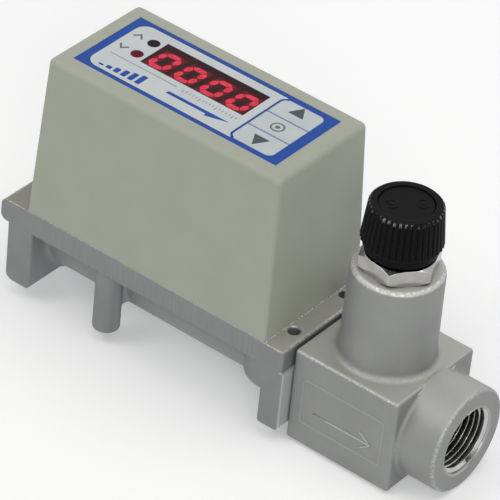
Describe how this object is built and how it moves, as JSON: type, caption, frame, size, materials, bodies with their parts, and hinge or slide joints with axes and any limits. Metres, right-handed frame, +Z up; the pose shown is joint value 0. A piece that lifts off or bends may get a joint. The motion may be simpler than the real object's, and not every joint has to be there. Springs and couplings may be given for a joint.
{
  "type": "inline flow meter with digital display and needle valve",
  "caption": "Inline gas flow meter: cast steel body with a moulded display head, membrane keys and a needle valve with a ribbed knob at its threaded outlet.",
  "frame": {"origin": "centre of the inlet port on the face of the inlet flange", "axes": "+X along the flow towards the outlet, +Y to the back, +Z up towards the display"},
  "size_m": [0.124, 0.036, 0.0688],
  "materials": {
    "cast_steel": "matte investment-cast stainless steel",
    "bright_steel": "bright machined steel",
    "steel_mesh": "woven stainless wire",
    "white_polymer": "moulded ivory polymer",
    "cover_grey": "smooth warm light grey moulding",
    "panel_print": "printed film, blue border on off-white",
    "key_film": "printed off-white film",
    "window_red": "dark red tinted acrylic",
    "lamp_red": "dark red lamp",
    "display_black": "black case with red figures",
    "black_polymer": "satin black moulding",
    "board_green": "green circuit board",
    "brass": "turned brass",
    "rubber_black": "black rubber",
    "wire_grey": "grey insulation"
  },
  "bodies": {
    "root": {"meter_body": "cast_steel", "flow_straightener": "white_polymer", "flow_screens": "steel_mesh", "screen_ring": "bright_steel", "lock_pins": "bright_steel", "housing_cover": "cover_grey", "cover_seal": "rubber_black", "cover_inserts": "brass", "cover_screws": "bright_steel", "panel_overlay": "panel_print", "display_window": "window_red", "key_switches": "black_polymer", "display_board": "board_green", "display_module": "display_black", "alarm_lamps": "lamp_red", "display_board_screws": "bright_steel", "main_board": "board_green", "board_pillars": "brass", "board_screws": "bright_steel", "board_link": "black_polymer", "sensor_module": "white_polymer", "sensor_seal": "rubber_black", "sensor_screws": "bright_steel", "sensor_header": "black_polymer", "signal_socket": "bright_steel", "socket_nut": "bright_steel", "socket_wires": "wire_grey", "valve_block": "cast_steel", "spigot_seal": "rubber_black", "bonnet_nut": "bright_steel", "bonnet_seal": "rubber_black"},
    "needle": {"valve_needle": "bright_steel", "needle_seal": "rubber_black"},
    "knob": {"valve_stem": "bright_steel", "knob": "black_polymer", "knob_screw": "bright_steel", "knob_cap": "black_polymer"},
    "key_up": {"key_up": "key_film", "plunger_up": "black_polymer"},
    "key_set": {"key_set": "key_film", "plunger_set": "black_polymer"},
    "key_down": {"key_down": "key_film", "plunger_down": "black_polymer"}
  },
  "joints": [
    {"name": "needle_lift", "type": "slide", "parent": "root", "child": "needle", "axis": [0, 0, 1], "range_m": [0, 0.00375]},
    {"name": "knob_turn", "type": "hinge", "parent": "needle", "child": "knob", "pos_m": [0.0974, 0, 0], "axis": [0, 0, 1], "range_deg": [0, 1800]},
    {"name": "key_up_press", "type": "slide", "parent": "root", "child": "key_up", "axis": [0, 0, -1], "range_m": [0, 0.00035], "stiffness_N_per_m": 400, "springref_m": -0.0005},
    {"name": "key_set_press", "type": "slide", "parent": "root", "child": "key_set", "axis": [0, 0, -1], "range_m": [0, 0.00035], "stiffness_N_per_m": 400, "springref_m": -0.0005},
    {"name": "key_down_press", "type": "slide", "parent": "root", "child": "key_down", "axis": [0, 0, -1], "range_m": [0, 0.00035], "stiffness_N_per_m": 400, "springref_m": -0.0005}
  ],
  "couplings": [
    {"joint": "needle_lift", "follows": "knob_turn", "m_per_rad": 0.00011937}
  ]
}
